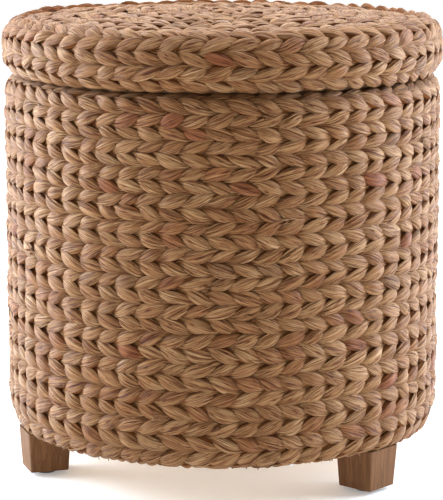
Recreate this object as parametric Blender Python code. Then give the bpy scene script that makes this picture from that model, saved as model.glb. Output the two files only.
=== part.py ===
"""Round storage ottoman: a twined water-hyacinth drum on three wooden legs, with a lift-off lid.

Frame: origin on the floor at the drum's centre line, +Z up, the front towards -Y.
Two rigid groups: the drum (everything that stays on the floor) and the lid that lifts off it.
"""
import math

import bmesh
import bpy
from mathutils import Vector

# ---------------------------------------------------------------- driving dimensions, metres
CLEARANCE = 0.0003            # gap left between pieces that touch
STAKES = 60                   # upright stakes in the weave; every ring has this many sides

DRUM_RADIUS = 0.225           # outside of the woven wall
LID_RADIUS = 0.2275           # outside of the woven lid
WEAVE = 0.013                 # thickness of the twined weave
BASE_Z = 0.046                # underside of the drum
PARTING_Z = 0.410             # where the lid rests on the rim
TOP_Z = 0.467                 # top of the lid where its rounded shoulder ends
CROWN = 0.009                 # how much higher the lid's middle is

BOARD = 0.012                 # plywood of the bottom and of the lid
HOOP_SECTION = 0.010          # height of the rim hoop
BORDER = 0.007                # height of the twined borders of the base and of the lid
RIM_BORDER = 0.0074           # height of the border that covers the rim hoop
FRAME_GAP = 0.0005            # between the frame and the wall woven around it
HOOP_INNER = 0.2005

POST_COUNT = 6
POST_RADIUS = 0.0045
POST_CIRCLE = 0.207

LEG_COUNT = 3
LEG_START = math.radians(78.5)  # bearing of the first leg
LEG_CIRCLE = 0.194            # centre line of the legs
LEG_TOP = 0.045               # square section under the board
LEG_FOOT = 0.040              # square section at the floor
LEG_CORNER = 0.0022           # planed edges
LEG_SCREW_SPREAD = 0.011      # each leg's two screws, either side of its middle

GLIDE_HEIGHT = 0.004
GLIDE_RADIUS = 0.0125
GLIDE_PIN = 0.0016
GLIDE_PIN_LENGTH = 0.012

LOCATOR_INNER = 0.189         # ring under the lid that drops inside the rim
LOCATOR_OUTER = 0.1975
LOCATOR_DROP = 0.013          # how far it reaches below the rim

MID_HOOP_INNER = 0.195
MID_HOOP_HEIGHT = 0.012
MID_HOOP_Z = 0.221

LEG_SCREW = dict(head_radius=0.0045, head_height=0.0025, shank_radius=0.0022, length=0.037)
POST_SCREW = dict(head_radius=0.0036, head_height=0.0022, shank_radius=0.0017, length=0.028)
RIM_SCREW = dict(head_radius=0.0036, head_height=0.0022, shank_radius=0.0017, length=0.026)
HOOP_SCREW = dict(head_radius=0.0030, head_height=0.0016, shank_radius=0.0013, length=0.0115)
LID_SCREW = dict(head_radius=0.0040, head_height=0.0024, shank_radius=0.0019, length=0.032)

# levels and radii that follow from them
BOARD_TOP_Z = BASE_Z + BOARD
BORDER_TOP_Z = BASE_Z + BORDER
RIM_BORDER_Z = PARTING_Z - CLEARANCE - RIM_BORDER
HOOP_TOP_Z = RIM_BORDER_Z - CLEARANCE
WALL_INNER = DRUM_RADIUS - WEAVE
FRAME_RADIUS = WALL_INNER - FRAME_GAP
LID_BORDER_TOP_Z = PARTING_Z + BORDER
LID_BOARD_TOP_Z = TOP_Z - WEAVE - CLEARANCE
LID_BOARD_Z = TOP_Z - WEAVE - BOARD
LID_BOARD_RADIUS = LID_RADIUS - WEAVE - CLEARANCE


# ---------------------------------------------------------------- materials
def material(name, colour, roughness, metallic=0.0):
    made = bpy.data.materials.new(name)
    made.use_nodes = True
    shader = made.node_tree.nodes["Principled BSDF"]
    shader.inputs["Base Color"].default_value = (*colour, 1.0)
    shader.inputs["Roughness"].default_value = roughness
    shader.inputs["Metallic"].default_value = metallic
    made.diffuse_color = (*colour, 1.0)
    return made


HYACINTH = (0.40, 0.23, 0.115)
WALNUT = (0.15, 0.072, 0.035)
PLYWOOD = (0.55, 0.38, 0.22)
RATTAN = (0.47, 0.30, 0.15)


# ---------------------------------------------------------------- building helpers
def finish(name, mesh_data, surface, parent, location=(0, 0, 0), rotation=(0, 0, 0), smooth=True):
    """Turns a bmesh into a named object under its group's empty."""
    bmesh.ops.recalc_face_normals(mesh_data, faces=mesh_data.faces)
    mesh = bpy.data.meshes.new(name)
    mesh_data.to_mesh(mesh)
    mesh_data.free()
    mesh.materials.append(surface)
    if smooth:
        mesh.shade_smooth()
        mesh.set_sharp_from_angle(angle=math.radians(35))
    made = bpy.data.objects.new(name, mesh)
    bpy.context.scene.collection.objects.link(made)
    if parent is not None:
        made.parent = parent
        location = Vector(location) - parent.location
    made.location = location
    made.rotation_euler = rotation
    return made


def lathe(profile, sides, closed=True):
    """Spins a profile of (radius, height) points about Z: a ring, or a solid if it ends on the axis."""
    turned = bmesh.new()
    points = [turned.verts.new((radius, 0.0, height)) for radius, height in profile]
    edges = [turned.edges.new(pair) for pair in zip(points, points[1:])]
    if closed:
        edges.append(turned.edges.new((points[-1], points[0])))
    bmesh.ops.spin(
        turned, geom=points + edges, cent=(0, 0, 0), axis=(0, 0, 1),
        angle=2 * math.pi, steps=sides, use_merge=True,
    )
    bmesh.ops.remove_doubles(turned, verts=turned.verts, dist=1e-6)
    return turned


def ring_section(inner, outer, low, high, chamfer):
    """A rectangular section with all four edges broken."""
    return [
        (inner, low + chamfer), (inner + chamfer, low),
        (outer - chamfer, low), (outer, low + chamfer),
        (outer, high - chamfer), (outer - chamfer, high),
        (inner + chamfer, high), (inner, high - chamfer),
    ]


def screw_section(head_radius, head_height, shank_radius, length, grow=0.0):
    """Half outline of a screw that points down -Z, its head's underside at the origin."""
    tip = 2.0 * shank_radius
    return [
        (0.0, head_height + grow),
        (head_radius + grow, head_height + grow),
        (head_radius + grow, -grow),
        (shank_radius + grow, -grow),
        (shank_radius + grow, -length + tip),
        (0.0, -length - 2 * grow),
    ]


def place(radius, bearing, height=0.0):
    return Vector((radius * math.cos(bearing), radius * math.sin(bearing), height))


def screw(name, size, surface, parent, location, rotation=(0, 0, 0)):
    shape = lathe(screw_section(**size), 12, closed=False)
    return finish(name, shape, surface, parent, location, rotation)


def screw_cutter(size, location, rotation=(0, 0, 0), above=0.0):
    """The hole a screw needs; above lengthens its head's pocket out through the face."""
    section = screw_section(**size, grow=CLEARANCE)
    section[0] = (0.0, section[0][1] + above)
    section[1] = (section[1][0], section[1][1] + above)
    shape = lathe(section, 12, closed=False)
    return guide(shape, location, rotation)


def guide(shape, location, rotation=(0, 0, 0)):
    """A hidden object that only cuts others."""
    cutter = finish("cutter", shape, CUTTER_SURFACE, None, location, rotation, smooth=False)
    cutter.hide_render = True
    cutter.display_type = "WIRE"
    return cutter


def cut(target, cutters):
    """Subtracts each cutter from the target."""
    for number, cutter in enumerate(cutters):
        hole = target.modifiers.new(f"hole_{number + 1}", "BOOLEAN")
        hole.operation = "DIFFERENCE"
        hole.solver = "EXACT"
        hole.object = cutter


def group(name, location):
    empty = bpy.data.objects.new(name, None)
    empty.location = location
    bpy.context.scene.collection.objects.link(empty)
    return empty


def bearings(count, start):
    return [start + number * 2 * math.pi / count for number in range(count)]


# ---------------------------------------------------------------- empty scene and its surfaces
for old in list(bpy.data.objects):
    bpy.data.objects.remove(old)

CUTTER_SURFACE = material("cutter", (0.5, 0.5, 0.5), 0.5)
drum = group("drum", (0, 0, 0))
lid = group("lid", (0, 0, PARTING_Z))

# ---------------------------------------------------------------- legs, their screws and glides
leg_top_z = BASE_Z - CLEARANCE
leg_height = leg_top_z - GLIDE_HEIGHT - CLEARANCE
leg_bearings = bearings(LEG_COUNT, LEG_START)
leg_screw_spots = []

for number, bearing in enumerate(leg_bearings, start=1):
    block = bmesh.new()
    bmesh.ops.create_cube(block, size=1.0)
    for vert in block.verts:
        side = LEG_TOP if vert.co.z > 0 else LEG_FOOT
        vert.co = Vector((vert.co.x * side, vert.co.y * side, (vert.co.z - 0.5) * leg_height))
    uprights = [
        edge for edge in block.edges
        if abs(edge.verts[0].co.z - edge.verts[1].co.z) > leg_height / 2
    ]
    bmesh.ops.bevel(
        block, geom=uprights, offset=LEG_CORNER, offset_type="OFFSET",
        segments=2, profile=0.5, affect="EDGES",
    )
    centre = place(LEG_CIRCLE, bearing, leg_top_z)
    walnut = material(f"leg_{number}_wood", WALNUT, 0.5)
    leg = finish(f"leg_{number}", block, walnut, drum, centre, (0, 0, bearing))

    across = Vector((-math.sin(bearing), math.cos(bearing), 0))
    holes = []
    for letter, side in (("a", -1), ("b", 1)):
        spot = place(LEG_CIRCLE, bearing, BOARD_TOP_Z + CLEARANCE) + across * side * LEG_SCREW_SPREAD
        steel = material(f"leg_{number}_screw_{letter}_steel", (0.42, 0.42, 0.43), 0.35, 1.0)
        screw(f"leg_{number}_screw_{letter}", LEG_SCREW, steel, drum, spot)
        holes.append(screw_cutter(LEG_SCREW, spot))
        leg_screw_spots.append(spot)

    pad = lathe(
        [
            (0.0, 0.0), (GLIDE_RADIUS - 0.002, 0.0), (GLIDE_RADIUS, 0.0015),
            (GLIDE_RADIUS, GLIDE_HEIGHT), (GLIDE_PIN, GLIDE_HEIGHT),
            (GLIDE_PIN, GLIDE_HEIGHT + GLIDE_PIN_LENGTH - 0.002),
            (0.0, GLIDE_HEIGHT + GLIDE_PIN_LENGTH),
        ],
        20, closed=False,
    )
    black = material(f"glide_{number}_nylon", (0.035, 0.028, 0.024), 0.55)
    foot = place(LEG_CIRCLE, bearing)
    finish(f"glide_{number}", pad, black, drum, foot)
    pin_hole = lathe(
        [
            (0.0, -0.002), (GLIDE_PIN + CLEARANCE, -0.002),
            (GLIDE_PIN + CLEARANCE, GLIDE_PIN_LENGTH), (0.0, GLIDE_PIN_LENGTH + 0.001),
        ],
        12, closed=False,
    )
    holes.append(guide(pin_hole, foot + Vector((0, 0, GLIDE_HEIGHT))))
    cut(leg, holes)

# ---------------------------------------------------------------- bottom board
bottom_wood = material("bottom_board_plywood", PLYWOOD, 0.6)
disc = lathe(
    [
        (0.0, BASE_Z), (FRAME_RADIUS - 0.001, BASE_Z), (FRAME_RADIUS, BASE_Z + 0.001),
        (FRAME_RADIUS, BOARD_TOP_Z - 0.001), (FRAME_RADIUS - 0.001, BOARD_TOP_Z),
        (0.0, BOARD_TOP_Z),
    ],
    STAKES, closed=False,
)
bottom_board = finish("bottom_board", disc, bottom_wood, drum)
board_holes = [screw_cutter(LEG_SCREW, spot) for spot in leg_screw_spots]

# ---------------------------------------------------------------- upright posts and their screws
post_low = BOARD_TOP_Z + CLEARANCE
post_high = HOOP_TOP_Z - HOOP_SECTION - CLEARANCE
rim_holes = []
hoop_holes = []

for number, bearing in enumerate(bearings(POST_COUNT, LEG_START + math.radians(30)), start=1):
    pole = lathe(
        [(0.0, post_low), (POST_RADIUS, post_low), (POST_RADIUS, post_high), (0.0, post_high)],
        16, closed=False,
    )
    cane = material(f"frame_post_{number}_rattan", RATTAN, 0.5)
    post = finish(f"frame_post_{number}", pole, cane, drum, place(POST_CIRCLE, bearing))

    foot = place(POST_CIRCLE, bearing, BASE_Z - CLEARANCE)
    upside_down = (math.pi, 0, 0)
    steel = material(f"post_foot_screw_{number}_steel", (0.42, 0.42, 0.43), 0.35, 1.0)
    screw(f"post_foot_screw_{number}", POST_SCREW, steel, drum, foot, upside_down)
    foot_hole = screw_cutter(POST_SCREW, foot, upside_down)
    board_holes.append(foot_hole)

    head = place(POST_CIRCLE, bearing, HOOP_TOP_Z - RIM_SCREW["head_height"] - 2 * CLEARANCE)
    steel = material(f"rim_screw_{number}_steel", (0.42, 0.42, 0.43), 0.35, 1.0)
    screw(f"rim_screw_{number}", RIM_SCREW, steel, drum, head)
    head_hole = screw_cutter(RIM_SCREW, head, above=0.002)
    rim_holes.append(head_hole)

    inward = place(MID_HOOP_INNER - 2 * CLEARANCE, bearing, MID_HOOP_Z)
    facing = (0, -math.pi / 2, bearing)
    steel = material(f"hoop_screw_{number}_steel", (0.42, 0.42, 0.43), 0.35, 1.0)
    screw(f"hoop_screw_{number}", HOOP_SCREW, steel, drum, inward, facing)
    side_hole = screw_cutter(HOOP_SCREW, inward, facing)
    hoop_holes.append(side_hole)
    cut(post, [foot_hole, head_hole, side_hole])

cut(bottom_board, board_holes)

# ---------------------------------------------------------------- hoops of the frame
rattan = material("rim_hoop_rattan", RATTAN, 0.5)
section = ring_section(HOOP_INNER, FRAME_RADIUS, HOOP_TOP_Z - HOOP_SECTION, HOOP_TOP_Z, 0.0012)
rim_hoop = finish("rim_hoop", lathe(section, STAKES), rattan, drum)
cut(rim_hoop, rim_holes)

rattan = material("middle_hoop_rattan", RATTAN, 0.5)
section = ring_section(
    MID_HOOP_INNER, POST_CIRCLE - POST_RADIUS - CLEARANCE,
    MID_HOOP_Z - MID_HOOP_HEIGHT / 2, MID_HOOP_Z + MID_HOOP_HEIGHT / 2, 0.0012,
)
middle_hoop = finish("middle_hoop", lathe(section, STAKES), rattan, drum)
cut(middle_hoop, hoop_holes)

# ---------------------------------------------------------------- woven wall and its borders
wall_low = BORDER_TOP_Z + CLEARANCE
wall_section = [
    (WALL_INNER, wall_low), (DRUM_RADIUS - 0.0075, wall_low),
    (DRUM_RADIUS - 0.0028, wall_low + 0.007), (DRUM_RADIUS, wall_low + 0.019),
    (DRUM_RADIUS, HOOP_TOP_Z - 0.017), (DRUM_RADIUS - 0.0018, HOOP_TOP_Z - 0.007),
    (DRUM_RADIUS - 0.0055, HOOP_TOP_Z), (WALL_INNER, HOOP_TOP_Z),
]
woven = material("woven_wall_hyacinth", HYACINTH, 0.75)
finish("woven_wall", lathe(wall_section, STAKES), woven, drum)

woven = material("base_border_hyacinth", HYACINTH, 0.75)
section = ring_section(WALL_INNER, DRUM_RADIUS - 0.0065, BASE_Z, BORDER_TOP_Z, 0.0015)
finish("base_border", lathe(section, STAKES), woven, drum)

woven = material("rim_border_hyacinth", HYACINTH, 0.75)
section = ring_section(0.203, DRUM_RADIUS - 0.006, RIM_BORDER_Z, PARTING_Z - CLEARANCE, 0.0018)
finish("rim_border", lathe(section, STAKES), woven, drum)

# ---------------------------------------------------------------- lid: board, rings and screws
locator_top = LID_BOARD_Z - CLEARANCE
locator_wood = material("lid_locating_ring_plywood", PLYWOOD, 0.6)
section = ring_section(
    LOCATOR_INNER, LOCATOR_OUTER, PARTING_Z - LOCATOR_DROP, locator_top, 0.0012,
)
locator = finish("lid_locating_ring", lathe(section, STAKES), locator_wood, lid)

side_wood = material("lid_side_ring_plywood", PLYWOOD, 0.6)
side_low = LID_BORDER_TOP_Z + CLEARANCE
side_section = [
    (0.206, side_low), (LID_BOARD_RADIUS, side_low),
    (LID_BOARD_RADIUS, locator_top), (0.206, locator_top),
]
finish("lid_side_ring", lathe(side_section, STAKES), side_wood, lid)

lid_wood = material("lid_board_plywood", PLYWOOD, 0.6)
disc = lathe(
    [
        (0.0, LID_BOARD_Z), (LID_BOARD_RADIUS, LID_BOARD_Z),
        (LID_BOARD_RADIUS, LID_BOARD_TOP_Z), (0.0, LID_BOARD_TOP_Z),
    ],
    STAKES, closed=False,
)
lid_board = finish("lid_board", disc, lid_wood, lid)

lid_holes = []
middle_of_ring = (LOCATOR_INNER + LOCATOR_OUTER) / 2
for number, bearing in enumerate(bearings(6, LEG_START), start=1):
    spot = place(middle_of_ring, bearing, LID_BOARD_TOP_Z - LID_SCREW["head_height"] - CLEARANCE)
    steel = material(f"lid_screw_{number}_steel", (0.42, 0.42, 0.43), 0.35, 1.0)
    screw(f"lid_screw_{number}", LID_SCREW, steel, lid, spot)
    lid_holes.append(screw_cutter(LID_SCREW, spot, above=0.002))
cut(lid_board, lid_holes)
cut(locator, lid_holes)

# ---------------------------------------------------------------- lid: woven cover and border
cover_low = LID_BORDER_TOP_Z + CLEARANCE
cover_inner = LID_RADIUS - WEAVE
cover_section = [
    (0.0, TOP_Z + CROWN), (0.055, TOP_Z + CROWN), (0.100, TOP_Z + 0.80 * CROWN), (0.145, TOP_Z + 0.47 * CROWN),
    (LID_RADIUS - 0.031, TOP_Z), (LID_RADIUS - 0.015, TOP_Z - 0.0035),
    (LID_RADIUS - 0.005, TOP_Z - 0.0115), (LID_RADIUS - 0.0005, TOP_Z - 0.022),
    (LID_RADIUS, TOP_Z - 0.031), (LID_RADIUS - 0.0018, cover_low + 0.007),
    (LID_RADIUS - 0.008, cover_low), (cover_inner, cover_low),
    (cover_inner, TOP_Z - WEAVE), (0.0, TOP_Z - WEAVE),
]
woven = material("lid_woven_cover_hyacinth", HYACINTH, 0.75)
finish("lid_woven_cover", lathe(cover_section, STAKES, closed=False), woven, lid)

woven = material("lid_border_hyacinth", HYACINTH, 0.75)
section = ring_section(0.2062, LID_RADIUS - 0.0085, PARTING_Z, LID_BORDER_TOP_Z, 0.0018)
finish("lid_border", lathe(section, STAKES), woven, lid)
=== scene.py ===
import math

import bpy
import numpy as np
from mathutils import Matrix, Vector


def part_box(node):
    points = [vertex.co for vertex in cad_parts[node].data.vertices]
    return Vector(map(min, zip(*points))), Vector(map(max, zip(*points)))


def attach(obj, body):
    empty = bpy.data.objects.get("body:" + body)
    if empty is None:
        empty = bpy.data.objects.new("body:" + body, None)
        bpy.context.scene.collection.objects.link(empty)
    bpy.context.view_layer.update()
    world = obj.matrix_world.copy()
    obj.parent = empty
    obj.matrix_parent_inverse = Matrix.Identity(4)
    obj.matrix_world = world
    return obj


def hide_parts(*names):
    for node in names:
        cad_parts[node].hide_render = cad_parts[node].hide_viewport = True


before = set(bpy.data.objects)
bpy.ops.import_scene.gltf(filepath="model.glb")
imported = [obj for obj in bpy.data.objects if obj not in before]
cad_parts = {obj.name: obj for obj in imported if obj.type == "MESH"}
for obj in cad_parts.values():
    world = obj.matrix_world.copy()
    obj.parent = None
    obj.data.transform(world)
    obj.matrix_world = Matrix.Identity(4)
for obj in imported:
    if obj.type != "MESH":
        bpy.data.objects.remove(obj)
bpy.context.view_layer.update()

TAU = 2 * math.pi
STAKES = 60                     # upright stakes round the drum
STAKE_STEP = TAU / STAKES

# One strand of a row whose size and depth_size are 1
STRAND_STEPS = 7                # rings of points along a strand for each stake it passes
STRAND_SIDES = 30               # points round a strand
STRAND_RISE = 0.0045            # how far it swings up and down as the pair twists
STRAND_SWING = 0.0029           # how far it swings in and out
STRAND_HALF_WIDTH = 0.0053      # where it dives behind a stake
LOBE_HALF_WIDTH = 0.0020        # added where it comes to the front
STRAND_HALF_DEPTH = 0.0034
LOBE_PROUD = 0.0063             # its front, out from the middle of the weave
FLAT_POWER = 0.60               # below 1, the section is a rounded slab instead of an ellipse
WIDE_POWER = 0.80
CREASE_SHARE = 0.50             # share of the lines along a strand that crease
CREASE_DEPTH = 0.34             # the deepest crease, as a share of the strand

STAKE_SIDES = 10                # points round a stake
STAKE_HALF_WIDTH = 0.0026
STAKE_HALF_DEPTH = 0.0013
STAKE_SAMPLE = 0.006            # distance between rings of points along a stake

WALL_ROWS = 26
WALL_LOW_Z = 0.0487             # where the lowest row starts, just above the base border
WALL_HIGH_Z = 0.4036            # where the highest row ends, under the rim border
MID_WALL = 0.2188               # radius of the stakes, in the middle of the weave
ROW_PITCH = 0.0136              # height of a row whose size is 1
HIGH_ROW_SHARE = 12.4           # share of the wall's height for its highest row
LOW_ROW_EXTRA = 2.6             # and how much more the lowest row has
BASE_TURN_Z = 0.080             # below this the wall turns in towards the base
BASE_TURN_HEIGHT = 0.030
BASE_TURN_IN = 0.0078
BASE_TURN_TILT = math.radians(24)
RIM_TURN_Z = 0.384              # above this it turns in towards the rim
RIM_TURN_HEIGHT = 0.022
RIM_TURN_IN = 0.0028
RIM_TURN_TILT = math.radians(26)


# ------------------------------------------------------------------------- wander of the hand weaving
def wander_field(scale, waves, climb, seed):
    """A smooth field over (bearing, height) that repeats round the drum, with the given spread."""
    draw = np.random.default_rng(seed)
    turns = draw.integers(waves[0], waves[1] + 1, 7)
    phase = draw.uniform(0, TAU, 7)
    rise = draw.uniform(-climb, climb, 7)
    size = scale * draw.uniform(0.5, 1.0, 7) / math.sqrt(3.5)

    def field(bearing, height):
        total = np.zeros(np.broadcast(bearing, height).shape)
        for k, p, c, s in zip(turns, phase, rise, size):
            total = total + s * np.sin(k * bearing + p + c * height)
        return total

    return field


stake_drift = wander_field(0.016, (2, 9), 9.0, 3)       # radians a stake leans off its place
row_sag = wander_field(0.0011, (2, 8), 6.0, 5)          # metres a row rides up or down
row_nudge = wander_field(0.0006, (11, 29), 60.0, 6)     # the same at the scale of a single lobe
crown_heave = wander_field(0.0009, (3, 12), 120.0, 7)   # metres the lid's top rings stand up or sink


def per_lobe(count, low, high, draw):
    return draw.uniform(low, high, count)


def blend_lobes(values, turns):
    """Reads one value per lobe smoothly along a strand; turns counts half twists."""
    index = np.floor(turns).astype(int)
    part = turns - index
    part = part * part * (3 - 2 * part)
    count = len(values)
    return values[index % count] * (1 - part) + values[(index + 1) % count] * part


# ------------------------------------------------------------------------- meshes
def add_object(name, data):
    made = bpy.data.objects.new(name, data)
    bpy.context.scene.collection.objects.link(made)
    return made


def tube_mesh(name, tubes):
    """One mesh of closed loops of tube. Each tube holds points (steps, sides, 3) and its attributes."""
    points = []
    faces = []
    layers = {key: [] for key in ("fibre", "tone", "painted_shade")}
    start = 0
    for tube in tubes:
        steps, sides = tube["points"].shape[:2]
        along = np.arange(steps)[:, None]
        around = np.arange(sides)[None, :]
        next_along = (along + 1) % steps if tube["loop"] else along + 1
        next_around = (around + 1) % sides
        a = along * sides + around
        b = along * sides + next_around
        c = next_along * sides + next_around
        d = next_along * sides + around
        quads = np.stack([a, d, c, b], axis=-1)
        if not tube["loop"]:
            quads = quads[:-1]
        points.append(tube["points"].reshape(-1, 3))
        faces.extend((quads.reshape(-1, 4) + start).tolist())
        if not tube["loop"]:
            faces.append((start + np.arange(sides)).tolist())
            faces.append((start + (steps - 1) * sides + np.arange(sides)[::-1]).tolist())
        for key, values in layers.items():
            values.append(tube[key].reshape(steps * sides, -1))
        start += steps * sides
    mesh = bpy.data.meshes.new(name)
    mesh.from_pydata(np.concatenate(points), [], faces, shade_flat=False)
    for key, values in layers.items():
        values = np.concatenate(values).astype(np.float32)
        if values.shape[1] == 3:
            mesh.attributes.new(key, "FLOAT_VECTOR", "POINT").data.foreach_set("vector", values.ravel())
        else:
            mesh.attributes.new(key, "FLOAT", "POINT").data.foreach_set("value", values.ravel())
    mesh.update()
    return add_object(name, mesh)


def section_angles(sides):
    """Angles round a strand, closer together where it faces out of the weave and into it."""
    even = np.arange(sides) / sides * TAU
    return even - 0.15 * np.sin(2 * even)


def unit(vectors):
    return vectors / np.linalg.norm(vectors, axis=-1, keepdims=True)


def sweep(centre, outward, width, depth, loop):
    """Points of a tube along centre, with its depth along outward and its width across."""
    if loop:
        ahead = np.roll(centre, -1, axis=0)
        behind = np.roll(centre, 1, axis=0)
    else:
        ahead = np.concatenate([centre[1:], centre[-1:]])
        behind = np.concatenate([centre[:1], centre[:-1]])
    heading = unit(ahead - behind)
    depth_axis = unit(outward - (outward * heading).sum(-1, keepdims=True) * heading)
    width_axis = np.cross(depth_axis, heading)
    ring = depth[..., None] * depth_axis[:, None, :] + width[..., None] * width_axis[:, None, :]
    return centre[:, None, :] + ring


def twined_row(name, radius, height, tilt, stakes, hand, seed, size=1.0, depth_size=1.0, drift=True,
               heave=False):
    """A row of two strands twisted about the stakes. tilt is the slope of the row's outward side."""
    draw = np.random.default_rng(seed)
    steps = stakes * STRAND_STEPS
    at = np.arange(steps) / STRAND_STEPS
    bearing = at * TAU / stakes
    angles = section_angles(STRAND_SIDES)[None, :]
    flat = np.sign(np.cos(angles)) * np.abs(np.cos(angles)) ** FLAT_POWER
    wide = np.sign(np.sin(angles)) * np.abs(np.sin(angles)) ** WIDE_POWER
    sway = blend_lobes(per_lobe(stakes, -0.34, 0.34, draw), at + 0.5)
    tubes = []
    for strand in (0, 1):
        turns = at + strand
        twist = math.pi * turns + sway
        out = np.cos(twist)
        fill = out * out
        plump = blend_lobes(per_lobe(stakes, 0.88, 1.12, draw), turns)
        lift = blend_lobes(per_lobe(stakes, -0.0008, 0.0008, draw), turns) * size
        push = blend_lobes(per_lobe(stakes, -0.0009, 0.0009, draw), turns)
        lean = blend_lobes(per_lobe(stakes, 0.72, 1.22, draw), turns)

        up = hand * STRAND_RISE * size * lean * (np.sin(twist) - 0.16 * np.sin(2 * twist)) + lift
        off = STRAND_SWING * depth_size * np.sign(out) * np.abs(out) ** 0.66 + push * fill
        if heave:
            off = off + crown_heave(bearing, radius)
        place = bearing
        if drift:
            up = up + row_sag(bearing, height) + row_nudge(bearing, height)
            place = bearing + stake_drift(bearing, height)
        r = radius + off * math.cos(tilt) - up * math.sin(tilt)
        z = height + off * math.sin(tilt) + up * math.cos(tilt)
        spoke = np.stack([np.cos(place), np.sin(place), np.zeros(steps)], axis=-1)
        centre = spoke * r[:, None]
        centre[:, 2] = z
        outward = spoke * math.cos(tilt)
        outward[:, 2] = math.sin(tilt)

        half_width = size * (STRAND_HALF_WIDTH + LOBE_HALF_WIDTH * fill ** 0.8) * plump
        half_depth = STRAND_HALF_DEPTH * depth_size * (1.0 + 0.05 * fill) * plump
        crease = np.ones((steps, STRAND_SIDES))
        for column in range(STRAND_SIDES):
            if draw.random() < CREASE_SHARE:
                deep = blend_lobes(per_lobe(stakes, 0.0, 1.0, draw) ** 2.4 * CREASE_DEPTH, turns)
                crease[:, column] -= deep
        points = sweep(
            centre, outward, half_width[:, None] * crease * wide, half_depth[:, None] * crease * flat, True,
        )
        run = np.cumsum(np.linalg.norm(np.diff(centre, axis=0, append=centre[:1]), axis=-1))
        fibre = np.stack([
            np.broadcast_to(run[:, None], crease.shape) + 3.1 * strand + 0.37 * (seed % 97),
            np.broadcast_to(0.0062 * size * np.sin(angles), crease.shape),
            np.broadcast_to(STRAND_HALF_DEPTH * depth_size * np.cos(angles), crease.shape),
        ], axis=-1)
        lobe = np.floor(turns + sway / math.pi + 0.5).astype(int) % stakes
        tone = draw.random(stakes)[lobe][:, None] * np.ones(crease.shape)
        # Painted shade: darker where the strand dives behind its neighbour, in its creases and along its flanks,
        # where shade falls
        proud = np.abs(off[:, None] + half_depth[:, None] * flat * crease) / (LOBE_PROUD * depth_size)
        crease_shade = np.clip((1 - crease) * 2.4, 0, 0.7)
        flank_shade = 0.80 * np.clip((np.abs(np.sin(angles)) - 0.86) / 0.14, 0, 1)
        painted_shade = np.maximum(np.clip(1.0 - 3.8 * proud, 0, 1), flank_shade) + crease_shade
        tubes.append(dict(points=points, fibre=fibre, tone=tone, painted_shade=np.clip(painted_shade, 0, 1), loop=True))
    return tube_mesh(name, tubes)


def profile_stakes(name, profile, bearings, seed, drift=True):
    """Flat stakes that follow a profile of (radius, height) points, one at each bearing."""
    draw = np.random.default_rng(seed)
    profile = np.array(profile)
    steps = np.concatenate([[0], np.cumsum(np.linalg.norm(np.diff(profile, axis=0), axis=-1))])
    count = max(4, int(steps[-1] / STAKE_SAMPLE))
    sample = np.linspace(0, steps[-1], count)
    r = np.interp(sample, steps, profile[:, 0])
    z = np.interp(sample, steps, profile[:, 1])
    slope = np.stack([np.gradient(r), np.gradient(z)], axis=-1)
    slope = unit(slope)
    angles = (np.arange(STAKE_SIDES) / STAKE_SIDES * TAU)[None, :]
    tubes = []
    for number, bearing in enumerate(bearings):
        place = np.full(count, bearing)
        if drift:
            place = place + stake_drift(bearing, z)
        spoke = np.stack([np.cos(place), np.sin(place)], axis=-1)
        centre = np.stack([spoke[:, 0] * r, spoke[:, 1] * r, z], axis=-1)
        outward = np.stack([spoke[:, 0] * slope[:, 1], spoke[:, 1] * slope[:, 1], -slope[:, 0]], axis=-1)
        wide = STAKE_HALF_WIDTH * draw.uniform(0.8, 1.15)
        ridged = 1 - 0.22 * (np.arange(STAKE_SIDES) % 2)[None, :]
        points = sweep(
            centre, outward, np.full((count, 1), wide) * ridged * np.sin(angles),
            np.full((count, 1), STAKE_HALF_DEPTH) * ridged * np.cos(angles), False,
        )
        fibre = np.stack([
            np.broadcast_to(sample[:, None], (count, STAKE_SIDES)) + number * 1.7,
            wide * np.sin(angles) * np.ones((count, 1)),
            STAKE_HALF_DEPTH * np.cos(angles) * np.ones((count, 1)),
        ], axis=-1)
        tone = np.full((count, STAKE_SIDES), draw.random())
        # The stakes sit behind the strands, so they carry a fixed share of painted shade
        painted_shade = np.full((count, STAKE_SIDES), 0.45)
        tubes.append(dict(points=points, fibre=fibre, tone=tone, painted_shade=painted_shade, loop=False))
    return tube_mesh(name, tubes)
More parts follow.
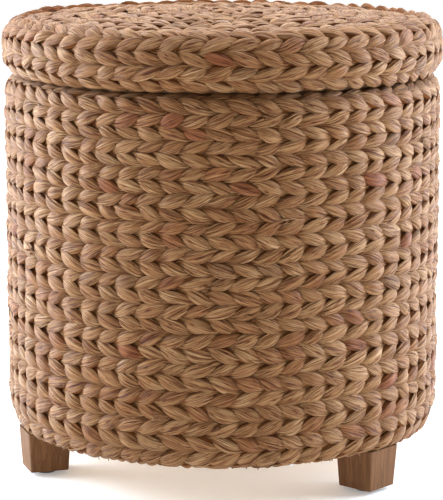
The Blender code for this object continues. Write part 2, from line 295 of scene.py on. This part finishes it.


# ------------------------------------------------------------------------- materials
# The meshes' own attributes: fibre is a place in the strand (along, across, deep), in metres; tone is one random
# number for each lobe; the third holds painted shade, 1 where the strand dives, in its creases and at its flanks,
# and 0 where it stands proud.
class Nodes:
    """Short calls for building one material's node tree."""

    def __init__(self, name):
        self.material = bpy.data.materials.new(name)
        self.material.use_nodes = True
        self.tree = self.material.node_tree
        self.shader = self.tree.nodes["Principled BSDF"]

    def add(self, kind, inputs=(), **settings):
        node = self.tree.nodes.new(kind)
        for key, value in settings.items():
            setattr(node, key, value)
        for socket, value in dict(inputs).items():
            if isinstance(value, bpy.types.NodeSocket):
                self.tree.links.new(value, node.inputs[socket])
            else:
                node.inputs[socket].default_value = value
        return node

    def attribute(self, name, output):
        return self.add("ShaderNodeAttribute", attribute_name=name).outputs[output]

    def scaled(self, vector, scale):
        return self.add("ShaderNodeMapping", {"Vector": vector, "Scale": scale}).outputs["Vector"]

    def noise(self, vector, scale=1.0, detail=3.0, roughness=0.55):
        return self.add("ShaderNodeTexNoise", {
            "Vector": vector, "Scale": scale, "Detail": detail, "Roughness": roughness,
        }).outputs["Fac"]

    def ramp(self, value, stops):
        node = self.add("ShaderNodeValToRGB", {"Fac": value})
        band = node.color_ramp
        while len(band.elements) < len(stops):
            band.elements.new(0.5)
        for element, (place, colour) in zip(band.elements, stops):
            element.position = place
            element.color = (*colour, 1.0)
        return node.outputs["Color"]

    def span(self, value, low, high, to_low=0.0, to_high=1.0):
        return self.add("ShaderNodeMapRange", {
            "Value": value, "From Min": low, "From Max": high, "To Min": to_low, "To Max": to_high,
        }).outputs["Result"]

    def mix(self, share, first, second, blend="MIX"):
        node = self.add("ShaderNodeMix", data_type="RGBA", blend_type=blend)
        for socket, value in ((0, share), (6, first), (7, second)):
            if isinstance(value, bpy.types.NodeSocket):
                self.tree.links.new(value, node.inputs[socket])
            elif socket == 0:
                node.inputs[socket].default_value = value
            else:
                node.inputs[socket].default_value = (*value, 1.0)
        return node.outputs[2]

    def maths(self, operation, first, second=0.0):
        return self.add("ShaderNodeMath", {0: first, 1: second}, operation=operation).outputs[0]

    def bump(self, height, strength, distance):
        return self.add("ShaderNodeBump", {
            "Height": height, "Strength": strength, "Distance": distance,
        }).outputs["Normal"]

    def link(self, output, socket):
        self.tree.links.new(output, self.shader.inputs[socket])


def hyacinth(name):
    """Dried water-hyacinth stem: satin fibres along the strand, each lobe a little different."""
    n = Nodes(name)
    fibre = n.attribute("fibre", "Vector")
    tone = n.attribute("tone", "Fac")
    painted_shade = n.attribute("painted_shade", "Fac")
    streak = n.noise(n.scaled(fibre, (24.0, 720.0, 720.0)), 1.0, 3.0, 0.62)
    seam = n.noise(n.scaled(fibre, (18.0, 600.0, 600.0)), 1.0, 1.0, 0.5)
    seam_fine = n.noise(n.scaled(fibre, (34.0, 1100.0, 1100.0)), 1.0, 1.0, 0.5)
    hair = n.noise(n.scaled(fibre, (60.0, 1300.0, 1300.0)), 1.0, 2.0, 0.6)
    patch = n.noise(n.scaled(fibre, (45.0, 110.0, 110.0)), 1.0, 2.0, 0.5)
    crack = n.span(n.maths("ABSOLUTE", n.maths("SUBTRACT", seam, 0.5)), 0.0, 0.042)
    crack_fine = n.span(n.maths("ABSOLUTE", n.maths("SUBTRACT", seam_fine, 0.5)), 0.0, 0.052)

    stem = n.ramp(tone, [
        (0.00, (0.215, 0.068, 0.023)), (0.03, (0.240, 0.101, 0.036)), (0.10, (0.247, 0.114, 0.042)),
        (0.50, (0.268, 0.133, 0.052)), (0.88, (0.302, 0.160, 0.068)), (0.97, (0.272, 0.141, 0.058)),
        (1.00, (0.222, 0.113, 0.048)),
    ])
    lines = n.maths("MULTIPLY", n.span(crack, 0.0, 1.0, 0.07, 1.0), n.span(crack_fine, 0.0, 1.0, 0.20, 1.0))
    shade = n.maths("MULTIPLY", n.span(streak, 0.30, 0.70, 0.74, 1.40), lines)
    fine = n.span(hair, 0.30, 0.70, 0.56, 1.42)
    blotch = n.span(patch, 0.35, 0.70, 0.93, 1.07)
    factor = n.maths("MULTIPLY", n.maths("MULTIPLY", shade, fine), blotch)
    tint = n.add("ShaderNodeCombineColor", {
        "Red": n.maths("POWER", factor, 0.64), "Green": n.maths("POWER", factor, 1.04),
        "Blue": n.maths("POWER", factor, 1.50),
    }).outputs[0]
    toned = n.mix(1.0, stem, tint, "MULTIPLY")
    warm = n.span(patch, 0.62, 0.78, 0.0, 0.5)
    toned = n.mix(warm, toned, (0.26, 0.095, 0.032))
    # Painted shade: the stem is mixed towards dark brown where the strand dives, creases and turns its flanks away
    shadowed = n.span(painted_shade, 0.42, 0.86, 0.0, 0.94)
    n.link(n.mix(shadowed, toned, (0.150, 0.042, 0.006)), "Base Color")
    n.link(n.maths("MAXIMUM", n.span(streak, 0.3, 0.7, 0.38, 0.54), shadowed), "Roughness")
    n.shader.inputs["Specular IOR Level"].default_value = 0.17
    n.shader.inputs["Sheen Weight"].default_value = 0.03
    n.shader.inputs["Sheen Roughness"].default_value = 0.4
    n.shader.inputs["Sheen Tint"].default_value = (1.0, 0.80, 0.60, 1.0)
    ridges = n.maths("ADD", n.maths("MULTIPLY", streak, 0.6), n.maths("MULTIPLY", hair, 0.2))
    ridges = n.maths("ADD", ridges, n.maths("MULTIPLY", crack, 0.45))
    ridges = n.maths("ADD", ridges, n.maths("MULTIPLY", crack_fine, 0.2))
    n.link(n.bump(ridges, 0.7, 0.0018), "Normal")
    return n.material


def object_point(n):
    return n.add("ShaderNodeTexCoord").outputs["Object"]


def stained_wood(name):
    """Brown stained hardwood: long grain up the leg, open pores and darker late growth."""
    n = Nodes(name)
    place = object_point(n)
    broad = n.noise(n.scaled(place, (95.0, 95.0, 5.0)), 1.0, 3.0, 0.55)
    grain = n.noise(n.scaled(place, (300.0, 300.0, 16.0)), 1.0, 4.0, 0.62)
    pore = n.noise(n.scaled(place, (1500.0, 1500.0, 75.0)), 1.0, 1.0, 0.5)
    rings = n.maths("FRACT", n.maths("MULTIPLY", broad, 5.0))
    figure = n.maths("ADD", n.maths("MULTIPLY", grain, 0.62), n.maths("MULTIPLY", rings, 0.38))
    wood = n.ramp(figure, [
        (0.22, (0.098, 0.042, 0.015)), (0.42, (0.121, 0.053, 0.020)), (0.58, (0.142, 0.063, 0.024)),
        (0.78, (0.172, 0.078, 0.030)),
    ])
    pores = n.span(pore, 0.60, 0.72, 0.0, 0.4)
    n.link(n.mix(pores, wood, (0.045, 0.018, 0.007)), "Base Color")
    n.link(n.span(grain, 0.3, 0.7, 0.50, 0.66), "Roughness")
    n.shader.inputs["Specular IOR Level"].default_value = 0.12
    relief = n.maths("SUBTRACT", n.maths("MULTIPLY", grain, 0.6), pores)
    n.link(n.bump(relief, 0.5, 0.0005), "Normal")
    return n.material


def birch_ply(name, layers_from, layer):
    """Bare plywood: pale rotary-cut face with darker fibre, and its layers where the edge shows."""
    n = Nodes(name)
    place = object_point(n)
    figure = n.noise(n.scaled(place, (9.0, 70.0, 30.0)), 1.0, 4.0, 0.6)
    fibre = n.noise(n.scaled(place, (35.0, 1100.0, 200.0)), 1.0, 2.0, 0.6)
    face = n.ramp(figure, [
        (0.25, (0.50, 0.315, 0.165)), (0.50, (0.62, 0.43, 0.255)), (0.75, (0.70, 0.52, 0.335)),
    ])
    height = n.add("ShaderNodeSeparateXYZ", {"Vector": place}).outputs["Z"]
    turns = n.maths("FRACT", n.maths("DIVIDE", n.maths("SUBTRACT", height, layers_from), 2 * layer))
    dark_layer = n.span(n.maths("ABSOLUTE", n.maths("SUBTRACT", turns, 0.5)), 0.23, 0.27, 0.0, 0.55)
    upright = n.add("ShaderNodeSeparateXYZ", {
        "Vector": n.add("ShaderNodeNewGeometry").outputs["Normal"],
    }).outputs["Z"]
    edge = n.span(n.maths("ABSOLUTE", upright), 0.5, 0.7, 1.0, 0.0)
    layered = n.mix(n.maths("MULTIPLY", dark_layer, edge), face, (0.34, 0.19, 0.09))
    lines = n.span(fibre, 0.58, 0.72, 0.0, 0.45)
    n.link(n.mix(lines, layered, (0.36, 0.21, 0.105)), "Base Color")
    n.link(n.span(fibre, 0.3, 0.7, 0.55, 0.72), "Roughness")
    n.link(n.bump(n.maths("ADD", fibre, n.maths("MULTIPLY", figure, 0.5)), 0.35, 0.0004), "Normal")
    return n.material


def cane(name, upright):
    """Peeled rattan: close fibres that follow the post or run round the hoop, with darker flecks."""
    n = Nodes(name)
    place = object_point(n)
    if upright:
        fibre = n.noise(n.scaled(place, (900.0, 900.0, 16.0)), 1.0, 3.0, 0.6)
        fleck = n.noise(n.scaled(place, (420.0, 420.0, 30.0)), 1.0, 2.0, 0.55)
    else:
        axes = n.add("ShaderNodeSeparateXYZ", {"Vector": place})
        x, y, z = (axes.outputs[k] for k in "XYZ")
        radial = n.maths("SQRT", n.maths("ADD", n.maths("MULTIPLY", x, x), n.maths("MULTIPLY", y, y)))
        fibre, fleck = (
            n.add("ShaderNodeTexNoise", {
                "Vector": n.add("ShaderNodeCombineXYZ", {
                    "X": n.maths("MULTIPLY", radial, across),
                    "Y": n.maths("MULTIPLY", z, across),
                    "Z": n.maths("MULTIPLY", x, along),
                }).outputs["Vector"],
                "W": n.maths("MULTIPLY", y, along), "Scale": 1.0, "Detail": 3.0,
            }, noise_dimensions="4D").outputs["Fac"]
            for across, along in ((900.0, 18.0), (420.0, 30.0))
        )
    skin = n.ramp(fibre, [
        (0.28, (0.36, 0.205, 0.090)), (0.50, (0.52, 0.335, 0.165)), (0.74, (0.63, 0.44, 0.245)),
    ])
    n.link(n.mix(n.span(fleck, 0.60, 0.74, 0.0, 0.6), skin, (0.25, 0.125, 0.050)), "Base Color")
    n.link(n.span(fibre, 0.3, 0.7, 0.38, 0.58), "Roughness")
    n.link(n.bump(fibre, 0.5, 0.0005), "Normal")
    return n.material


def zinc_steel(name):
    """Zinc-plated screw steel: brushed, with a faint mottle and dull spots."""
    n = Nodes(name)
    place = object_point(n)
    brushed = n.noise(n.scaled(place, (600.0, 3200.0, 600.0)), 1.0, 2.0, 0.6)
    mottle = n.noise(place, 420.0, 3.0, 0.6)
    n.link(n.ramp(mottle, [(0.3, (0.40, 0.40, 0.39)), (0.7, (0.60, 0.60, 0.58))]), "Base Color")
    n.link(n.span(n.maths("ADD", brushed, n.maths("MULTIPLY", mottle, 0.5)), 0.45, 1.05, 0.24, 0.46), "Roughness")
    n.link(n.bump(brushed, 0.2, 0.0002), "Normal")
    n.shader.inputs["Metallic"].default_value = 1.0
    return n.material


def moulded_nylon(name):
    """Dark moulded nylon foot with a fine spark-eroded skin and scuffs."""
    n = Nodes(name)
    place = object_point(n)
    skin = n.noise(place, 2600.0, 3.0, 0.6)
    scuff = n.noise(n.scaled(place, (190.0, 520.0, 300.0)), 1.0, 3.0, 0.6)
    n.link(n.ramp(scuff, [(0.45, (0.022, 0.018, 0.015)), (0.75, (0.060, 0.050, 0.043))]), "Base Color")
    n.link(n.span(scuff, 0.35, 0.7, 0.42, 0.66), "Roughness")
    n.link(n.bump(skin, 0.3, 0.0002), "Normal")
    return n.material


def dress(material, *names):
    for name in names:
        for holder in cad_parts[name].material_slots:
            holder.material = material


weave_look = hyacinth("water_hyacinth")
dress(stained_wood("brown_stained_wood"), "leg_1", "leg_2", "leg_3")
dress(moulded_nylon("dark_nylon"), "glide_1", "glide_2", "glide_3")
dress(birch_ply("ply_board_base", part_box("bottom_board")[0][2], 0.0012), "bottom_board")
dress(birch_ply("ply_board_lid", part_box("lid_board")[0][2], 0.0013), "lid_board")
dress(birch_ply("ply_ring_lid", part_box("lid_side_ring")[0][2], 0.0015), "lid_side_ring", "lid_locating_ring")
dress(cane("rattan_post", True), *[f"frame_post_{k}" for k in range(1, 7)])
dress(cane("rattan_hoop", False), "middle_hoop", "rim_hoop")
dress(
    zinc_steel("zinc_plate"), *[f"leg_{k}_screw_{end}" for k in (1, 2, 3) for end in "ab"],
    *[f"{kind}_screw_{k}" for kind in ("hoop", "lid", "post_foot", "rim") for k in range(1, 7)],
)


def woven(piece, body, *nodes):
    piece.data.materials.append(weave_look)
    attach(piece, body)
    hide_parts(*nodes)
    return piece


# ------------------------------------------------------------------------- drum weave
def wall_profile(height):
    """Radius and tilt of the weave's middle at a height: it turns in at the base and at the rim."""
    low = np.clip((BASE_TURN_Z - height) / BASE_TURN_HEIGHT, 0, 1)
    high = np.clip((height - RIM_TURN_Z) / RIM_TURN_HEIGHT, 0, 1)
    radius = MID_WALL - BASE_TURN_IN * low ** 2 - RIM_TURN_IN * high ** 2
    tilt = RIM_TURN_TILT * high - BASE_TURN_TILT * low
    return float(radius), float(tilt)


# Rows grow towards the base
row_share = HIGH_ROW_SHARE + LOW_ROW_EXTRA * (1 - np.arange(WALL_ROWS) / (WALL_ROWS - 1)) ** 1.6
row_edges = WALL_LOW_Z + (WALL_HIGH_Z - WALL_LOW_Z) * np.concatenate([[0], np.cumsum(row_share)]) / row_share.sum()
for row in range(WALL_ROWS):
    low, high = row_edges[row], row_edges[row + 1]
    height = (low + high) / 2
    radius, tilt = wall_profile(height)
    hand = 1 if row % 2 == 0 else -1
    woven(
        twined_row(
            f"wall_row_{row + 1:02d}", radius, height, tilt, STAKES, hand, 100 + row, size=(high - low) / ROW_PITCH,
        ),
        "drum", "woven_wall",
    )

stake_line = [(0.2112, 0.0480)] + [
    (wall_profile(z)[0], z) for z in np.linspace(0.056, 0.400, 40)
] + [(0.2120, 0.4048)]
stake_bearings = [k * STAKE_STEP for k in range(STAKES)]
woven(profile_stakes("wall_stakes", stake_line, stake_bearings, 71), "drum", "woven_wall")

woven(
    twined_row("rim_row", 0.2120, 0.4045, math.radians(62), STAKES, 1, 201, size=0.80, depth_size=0.72),
    "drum", "rim_border",
)
woven(
    twined_row("base_row", 0.2124, 0.0488, math.radians(-50), 2 * STAKES, 1, 202, size=0.34, depth_size=0.60),
    "drum", "base_border",
)


def wisp(path, outward, thick, thin, draw, flatness=0.6):
    """One cut fibre end along path, thinning from thick to thin."""
    path = np.array(path, float)
    count = len(path)
    sides = 7
    angles = (np.arange(sides) / sides * TAU)[None, :]
    taper = np.linspace(thick, thin, count)[:, None]
    ragged = 1 + draw.uniform(-0.25, 0.25, (count, sides))
    points = sweep(
        path, np.broadcast_to(outward, path.shape), taper * np.sin(angles) * ragged,
        flatness * taper * np.cos(angles) * ragged, False,
    )
    run = np.concatenate([[0], np.cumsum(np.linalg.norm(np.diff(path, axis=0), axis=-1))])
    fibre = np.stack([
        np.broadcast_to(run[:, None], (count, sides)) + draw.uniform(0, 9),
        np.broadcast_to(0.003 * np.sin(angles), (count, sides)),
        np.broadcast_to(0.003 * np.cos(angles), (count, sides)),
    ], axis=-1)
    # Each cut end carries a random share of painted shade
    return dict(
        points=points, fibre=fibre, tone=np.full((count, sides), draw.random()),
        painted_shade=np.full((count, sides), draw.uniform(0.2, 0.75)), loop=False,
    )


FRINGE_ENDS = 230
FRINGE_RADIUS = 0.2140
FRINGE_TOP_Z = 0.0512


def base_fringe():
    """The short cut ends of the stakes and strands under the lowest row."""
    draw = np.random.default_rng(77)
    ends = []
    for bearing in np.arange(0, TAU, TAU / FRINGE_ENDS):
        at = bearing + draw.uniform(-0.012, 0.012)
        spoke = np.array([math.cos(at), math.sin(at), 0.0])
        side = np.array([-math.sin(at), math.cos(at), 0.0])
        length = draw.uniform(0.0030, 0.0078)
        top = spoke * (FRINGE_RADIUS + draw.uniform(-0.003, 0.0015)) + np.array([0, 0, FRINGE_TOP_Z])
        lean = side * draw.uniform(-0.7, 0.7) + spoke * draw.uniform(-0.1, 0.35) + np.array([0, 0, -1.0])
        path = [top + lean * length * t for t in (0, 0.35, 0.7, 1.0)]
        ends.append(wisp(path, spoke, draw.uniform(0.0008, 0.0017), 0.0004, draw))
    return tube_mesh("base_fringe", ends)


LOBE_FRONT = 0.225              # radius of the lobes' fronts, which a loose end lies over
LOOSE_ROOT = 0.2215             # radius at which it comes out of the weave


def loose_ends():
    """Places where a strand was spliced in: a few stiff cut ends stand a little out of the weave."""
    draw = np.random.default_rng(78)
    # bearing in degrees from the front, height
    places = [(7.5, 0.196), (16.5, 0.290), (-2.5, 0.2255), (10.0, 0.3895), (27.0, 0.1965), (-34.0, 0.330),
              (-58.0, 0.243), (49.0, 0.142), (63.0, 0.352), (-76.0, 0.155), (98.0, 0.271), (121.0, 0.182),
              (143.0, 0.335), (-161.0, 0.225), (-137.0, 0.300), (-112.0, 0.121), (176.0, 0.148), (-18.0, 0.096)]
    ends = []
    for degrees, height in places:
        at = math.radians(degrees - 90)
        for _ in range(draw.integers(2, 5)):
            way = 1 if draw.random() < 0.5 else -1
            length = draw.uniform(0.006, 0.013)
            climb = draw.uniform(-0.45, 0.45)
            begin = at + draw.uniform(-0.012, 0.012)
            low = height + draw.uniform(-0.003, 0.003)
            path = []
            for t in np.linspace(0, 1, 7):
                bearing = begin + way * length * t / LOBE_FRONT
                r = LOOSE_ROOT + 0.0052 * math.sin(min(1, 1.5 * t) * math.pi / 2) + 0.0012 * t
                path.append((r * math.cos(bearing), r * math.sin(bearing), low + climb * length * t))
            spoke = np.array([math.cos(begin), math.sin(begin), 0.0])
            ends.append(wisp(path, spoke, draw.uniform(0.0010, 0.0018), 0.0003, draw, 0.5))
    return tube_mesh("loose_ends", ends)


woven(base_fringe(), "drum", "base_border")
woven(loose_ends(), "drum", "woven_wall")

# ------------------------------------------------------------------------- lid weave
# The turned-under border, the side and the shoulder: radius, height, tilt in degrees, stakes
lid_rows = [
    (0.2085, 0.4157, -64, STAKES),
    (0.2152, 0.4190, -30, STAKES),
    (0.2204, 0.4302, -5, STAKES),
    (0.2209, 0.4428, 6, STAKES),
    (0.2179, 0.4543, 29, STAKES),
    (0.2101, 0.4613, 57, STAKES),
]
SIDE_ROWS = len(lid_rows)
CROWN_RADII = (0.055, 0.100, 0.145, 0.1965)       # the lid's top rises to its middle
CROWN_HEIGHTS = (0.4698, 0.4679, 0.4648, 0.4606)
OUTER_RING = 0.1968
RING_STEP = 0.0130
CENTRE_CLEAR = 0.012            # the rings end outside this radius
RING_LOBES = (60, 40, 24, 14, 8)  # a ring takes the most whose lobes are longer than SHORT_LOBE
SHORT_LOBE = 0.0172
STAKE_REACH = 0.0066            # how far stakes go past the rings they belong to


def crown_height(radius):
    return float(np.interp(radius, CROWN_RADII, CROWN_HEIGHTS))


ring_radius = OUTER_RING
while ring_radius > CENTRE_CLEAR:
    around = TAU * ring_radius
    for count in RING_LOBES:
        if around / count > SHORT_LOBE:
            break
    slope = math.degrees(math.atan2(crown_height(ring_radius - 0.005) - crown_height(ring_radius + 0.005), 0.010))
    lid_rows.append((ring_radius, crown_height(ring_radius), 90 - slope, count))
    ring_radius -= RING_STEP

for number, (radius, height, tilt, count) in enumerate(lid_rows):
    hand = 1 if number % 2 == 0 else -1
    size, depth = (0.74, 0.8) if number == 0 else (0.92, 1.0 if number < SIDE_ROWS else 0.86)
    woven(
        twined_row(
            f"lid_row_{number + 1:02d}", radius, height, math.radians(tilt), count, hand,
            300 + number, size=size, depth_size=depth, drift=number <= SIDE_ROWS, heave=number >= SIDE_ROWS,
        ),
        "lid", "lid_border" if number == 0 else "lid_woven_cover",
    )

ring_counts = {}                # the smallest and largest ring of each number of lobes
for radius, _, _, count in lid_rows[SIDE_ROWS:]:
    low, high = ring_counts.get(count, (radius, radius))
    ring_counts[count] = (min(low, radius), max(high, radius))
for count, (low, high) in ring_counts.items():
    line = [(r, crown_height(r)) for r in np.linspace(low - STAKE_REACH, high + STAKE_REACH, 12)]
    if count == STAKES:
        line = line[:-1] + [(0.2050, 0.4600), (0.2140, 0.4550), (0.2195, 0.4440),
                            (0.2200, 0.4300), (0.2152, 0.4191), (0.2085, 0.4157)]
    woven(
        profile_stakes(
            f"lid_stakes_{count}", line, [k * TAU / count for k in range(count)], 400 + count, drift=count == STAKES,
        ),
        "lid", "lid_woven_cover",
    )


CENTRE_REACH = 0.0150           # half the length of a stake's end
CENTRE_Z = 0.4682


def lid_centre():
    """The stakes of the lid cross at its centre, over and under, inside the first ring."""
    draw = np.random.default_rng(79)
    strips = []
    for number in range(4):
        at = number * math.pi / 4 + 0.2
        way = np.array([math.cos(at), math.sin(at), 0.0])
        path = [
            way * t + np.array([
                0, 0, CENTRE_Z + 0.0015 * number + 0.0022 * math.cos(t / CENTRE_REACH * math.pi / 2),
            ])
            for t in np.linspace(-CENTRE_REACH, CENTRE_REACH, 13)
        ]
        strips.append(wisp(path, np.array([0, 0, 1.0]), 0.0050, 0.0044, draw, 0.32))
        # The centre strips carry almost no painted shade
        strips[-1]["painted_shade"][:] = 0.1
    return tube_mesh("lid_centre", strips)


woven(lid_centre(), "lid", "lid_woven_cover")

# ------------------------------------------------------------------------- floor, light and camera
FLOOR_REACH = 9.0
floor_mesh = bpy.data.meshes.new("floor")
floor_mesh.from_pydata(
    [(x * FLOOR_REACH, y * FLOOR_REACH, 0) for x, y in ((-1, -1), (1, -1), (1, 1), (-1, 1))], [], [(0, 1, 2, 3)],
)
floor = add_object("floor", floor_mesh)
floor_look = Nodes("pale_glowing_floor")
floor_look.shader.inputs["Base Color"].default_value = (0.88, 0.88, 0.875, 1.0)
floor_look.shader.inputs["Roughness"].default_value = 0.8
floor_look.shader.inputs["Specular IOR Level"].default_value = 0.1
from_centre = floor_look.add(
    "ShaderNodeVectorMath", {0: object_point(floor_look)}, operation="LENGTH",
).outputs["Value"]
# Painted light: the floor glows as well as taking the lamps' light, weaker near the object and stronger further out,
# so that the far floor reads white
floor_look.shader.inputs["Emission Color"].default_value = (1.0, 1.0, 1.0, 1.0)
floor_look.link(floor_look.span(from_centre, 0.3, 3.0, 0.24, 0.78), "Emission Strength")
floor.data.materials.append(floor_look.material)


def softbox(name, place, target, width, height, power, colour=(1.0, 1.0, 1.0)):
    light = bpy.data.lights.new(name, "AREA")
    light.shape = "RECTANGLE"
    light.size = width
    light.size_y = height
    light.energy = power
    light.color = colour
    lamp = add_object(name, light)
    lamp.location = place
    lamp.rotation_euler = (Vector(target) - Vector(place)).to_track_quat("-Z", "Y").to_euler()


softbox("left_panel", (-1.95, 0.45, 0.75), (0, 0, 0.25), 1.6, 1.8, 126, (0.93, 1.04, 1.17))
softbox("right_panel", (1.95, 0.45, 0.75), (0, 0, 0.25), 1.6, 1.8, 102, (0.94, 1.04, 1.17))
softbox("overhead", (0.0, 0.5, 2.4), (0, 0, 0.2), 2.6, 2.2, 106, (1.01, 0.985, 0.945))
softbox("rear_panel", (0.0, 2.6, 1.55), (0, 0, 0.4), 3.2, 1.2, 36)
softbox("front_fill", (-0.5, -3.2, 1.6), (0, 0, 0.25), 2.4, 1.8, 6, (1.0, 0.95, 0.85))

# White round the horizon, which is the backdrop, and grey above, so that the weave keeps its shadows
world = bpy.data.worlds.new("studio")
world.use_nodes = True
sky = world.node_tree
facing = sky.nodes.new("ShaderNodeTexCoord")
height_of = sky.nodes.new("ShaderNodeSeparateXYZ")
level = sky.nodes.new("ShaderNodeValToRGB")
sky.links.new(facing.outputs["Generated"], height_of.inputs[0])
sky.links.new(height_of.outputs["Z"], level.inputs["Fac"])
sky.links.new(level.outputs["Color"], sky.nodes["Background"].inputs["Color"])
for element, (place, shade) in zip(
    [level.color_ramp.elements[0], level.color_ramp.elements[1]], [(0.07, 1.0), (0.16, 0.23)],
):
    element.position = place
    element.color = (shade, shade, shade, 1.0)
sky.nodes["Background"].inputs["Strength"].default_value = 1.0
bpy.context.scene.world = world
bpy.context.scene.view_settings.view_transform = "Standard"

CAMERA_TILT = 10.32             # degrees down from level
camera_data = bpy.data.cameras.new("camera")
camera_data.sensor_width = 36.0
camera_data.lens = 164.7
camera = add_object("camera", camera_data)
camera.location = (-0.001, -2.3625, 0.652)
camera.rotation_euler = (math.radians(90 - CAMERA_TILT), 0, 0)
bpy.context.scene.camera = camera
